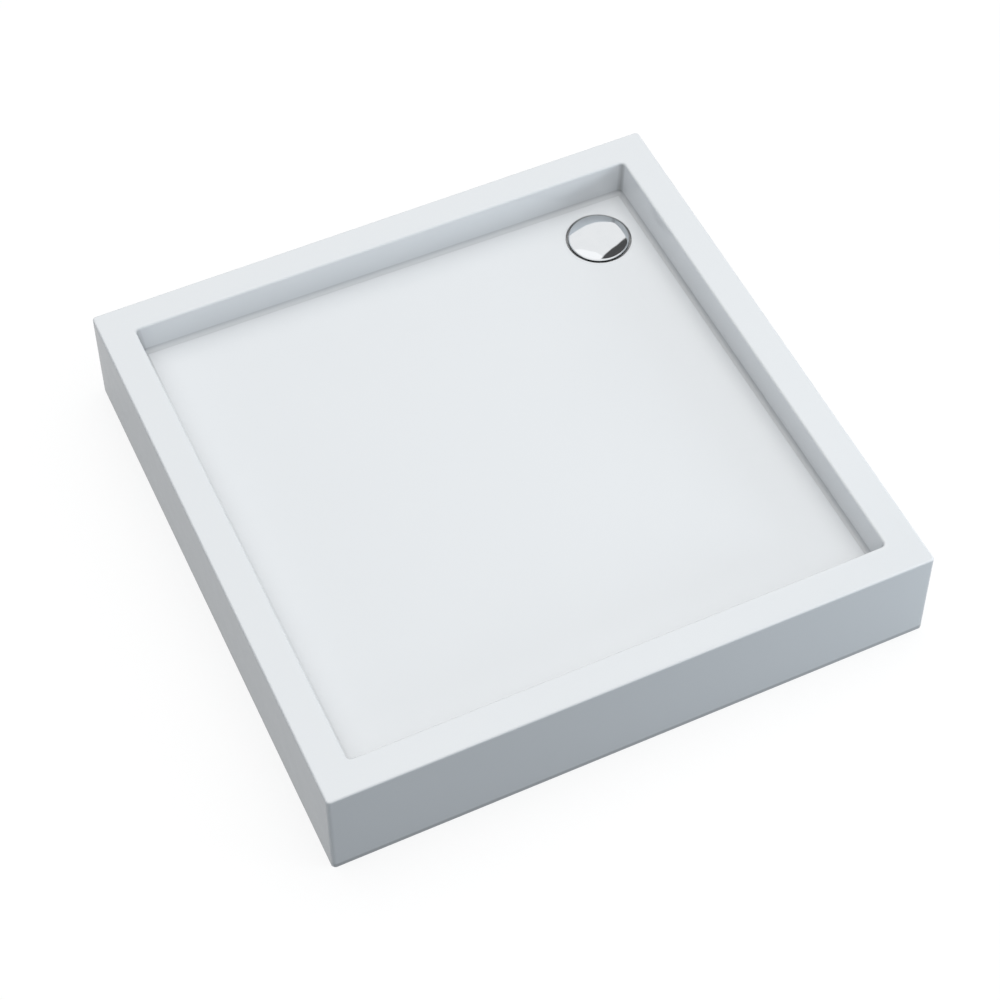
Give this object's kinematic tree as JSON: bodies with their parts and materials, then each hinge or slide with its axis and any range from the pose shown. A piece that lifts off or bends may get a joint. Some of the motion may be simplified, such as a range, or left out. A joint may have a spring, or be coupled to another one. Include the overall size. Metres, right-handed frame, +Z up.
{
  "type": "shower tray",
  "caption": "Square acrylic shower tray with a four-sided apron, sloped floor, corner waste with a chromed cover, low trap and levelling feet.",
  "frame": {"origin": "centre of the footprint, on the floor", "axes": "+Z up; +X and +Y along the sides, towards the corner with the waste"},
  "size_m": [1, 1, 0.183],
  "materials": {
    "acrylic": "glossy white sanitary acrylic",
    "fibreglass": "rough sprayed glass-fibre resin",
    "chipboard": "resin-sealed chipboard",
    "zinc_steel": "zinc plated steel",
    "stainless": "stainless steel",
    "chrome": "mirror chrome",
    "black_rubber": "black rubber",
    "white_pp": "white moulded plastic",
    "grey_pp": "grey moulded plastic",
    "black_pp": "black moulded plastic"
  },
  "bodies": {
    "tray": {"tray_shell": "acrylic", "fibreglass_backing": "fibreglass", "base_board": "chipboard", "socket_screws": "zinc_steel", "waste_flange": "stainless", "flange_screws": "stainless", "upper_gasket": "black_rubber", "lower_gasket": "black_rubber", "trap_body": "white_pp", "outlet_seal": "black_rubber", "socket_front_left": "black_pp", "socket_front_right": "black_pp", "socket_back_left": "black_pp", "socket_waste_side": "black_pp", "socket_centre": "black_pp", "locknut_front_left": "zinc_steel", "locknut_front_right": "zinc_steel", "locknut_back_left": "zinc_steel", "locknut_waste_side": "zinc_steel", "locknut_centre": "zinc_steel"},
    "cup": {"dip_cup": "white_pp", "cup_seal": "black_rubber"},
    "strainer": {"hair_strainer": "stainless"},
    "cover": {"waste_cover": "chrome"},
    "nut": {"outlet_nut": "grey_pp"},
    "elbow": {"outlet_elbow": "grey_pp"},
    "pad_front_left": {"pad_front_left": "black_pp"},
    "stud_front_left": {"stud_front_left": "zinc_steel"},
    "pad_front_right": {"pad_front_right": "black_pp"},
    "stud_front_right": {"stud_front_right": "zinc_steel"},
    "pad_back_left": {"pad_back_left": "black_pp"},
    "stud_back_left": {"stud_back_left": "zinc_steel"},
    "pad_waste_side": {"pad_waste_side": "black_pp"},
    "stud_waste_side": {"stud_waste_side": "zinc_steel"},
    "pad_centre": {"pad_centre": "black_pp"},
    "stud_centre": {"stud_centre": "zinc_steel"}
  },
  "joints": [
    {"name": "height_front_left", "type": "slide", "parent": "tray", "child": "pad_front_left", "axis": [0, 0, -1], "range_m": [-0.00525, 0.014]},
    {"name": "turn_front_left", "type": "hinge", "parent": "pad_front_left", "child": "stud_front_left", "pos_m": [-0.35011, -0.35011, 0.05], "axis": [0, 0, -1], "range_deg": [-1081, 2881]},
    {"name": "height_front_right", "type": "slide", "parent": "tray", "child": "pad_front_right", "axis": [0, 0, -1], "range_m": [-0.00525, 0.014]},
    {"name": "turn_front_right", "type": "hinge", "parent": "pad_front_right", "child": "stud_front_right", "pos_m": [0.35011, -0.35011, 0.05], "axis": [0, 0, -1], "range_deg": [-1081, 2881]},
    {"name": "height_back_left", "type": "slide", "parent": "tray", "child": "pad_back_left", "axis": [0, 0, -1], "range_m": [-0.00525, 0.014]},
    {"name": "turn_back_left", "type": "hinge", "parent": "pad_back_left", "child": "stud_back_left", "pos_m": [-0.35011, 0.35011, 0.05], "axis": [0, 0, -1], "range_deg": [-1081, 2881]},
    {"name": "height_waste_side", "type": "slide", "parent": "tray", "child": "pad_waste_side", "axis": [0, 0, -1], "range_m": [-0.00525, 0.014]},
    {"name": "turn_waste_side", "type": "hinge", "parent": "pad_waste_side", "child": "stud_waste_side", "pos_m": [0.35011, 0.21551, 0.05], "axis": [0, 0, -1], "range_deg": [-1081, 2881]},
    {"name": "height_centre", "type": "slide", "parent": "tray", "child": "pad_centre", "axis": [0, 0, -1], "range_m": [-0.00525, 0.014]},
    {"name": "turn_centre", "type": "hinge", "parent": "pad_centre", "child": "stud_centre", "pos_m": [0, 0, 0.05], "axis": [0, 0, -1], "range_deg": [-1081, 2881]},
    {"name": "cup_lift", "type": "slide", "parent": "tray", "child": "cup", "axis": [0, 0, 1], "range_m": [0, 0.12]},
    {"name": "strainer_lift", "type": "slide", "parent": "cup", "child": "strainer", "axis": [0, 0, 1], "range_m": [0, 0.05]},
    {"name": "cover_lift", "type": "slide", "parent": "strainer", "child": "cover", "axis": [0, 0, 1], "range_m": [0, 0.04]},
    {"name": "nut_turn", "type": "hinge", "parent": "tray", "child": "nut", "pos_m": [0.283, 0.35351, 0.06599], "axis": [-1, 0, 0], "continuous": true},
    {"name": "elbow_swivel", "type": "hinge", "parent": "tray", "child": "elbow", "pos_m": [0.283, 0.35351, 0.06599], "axis": [1, 0, 0], "range_deg": [-3, 25]}
  ],
  "couplings": [
    {"joint": "turn_front_left", "follows": "height_front_left", "rad_per_m": 3590.4},
    {"joint": "turn_front_right", "follows": "height_front_right", "rad_per_m": 3590.4},
    {"joint": "turn_back_left", "follows": "height_back_left", "rad_per_m": 3590.4},
    {"joint": "turn_waste_side", "follows": "height_waste_side", "rad_per_m": 3590.4},
    {"joint": "turn_centre", "follows": "height_centre", "rad_per_m": 3590.4}
  ]
}
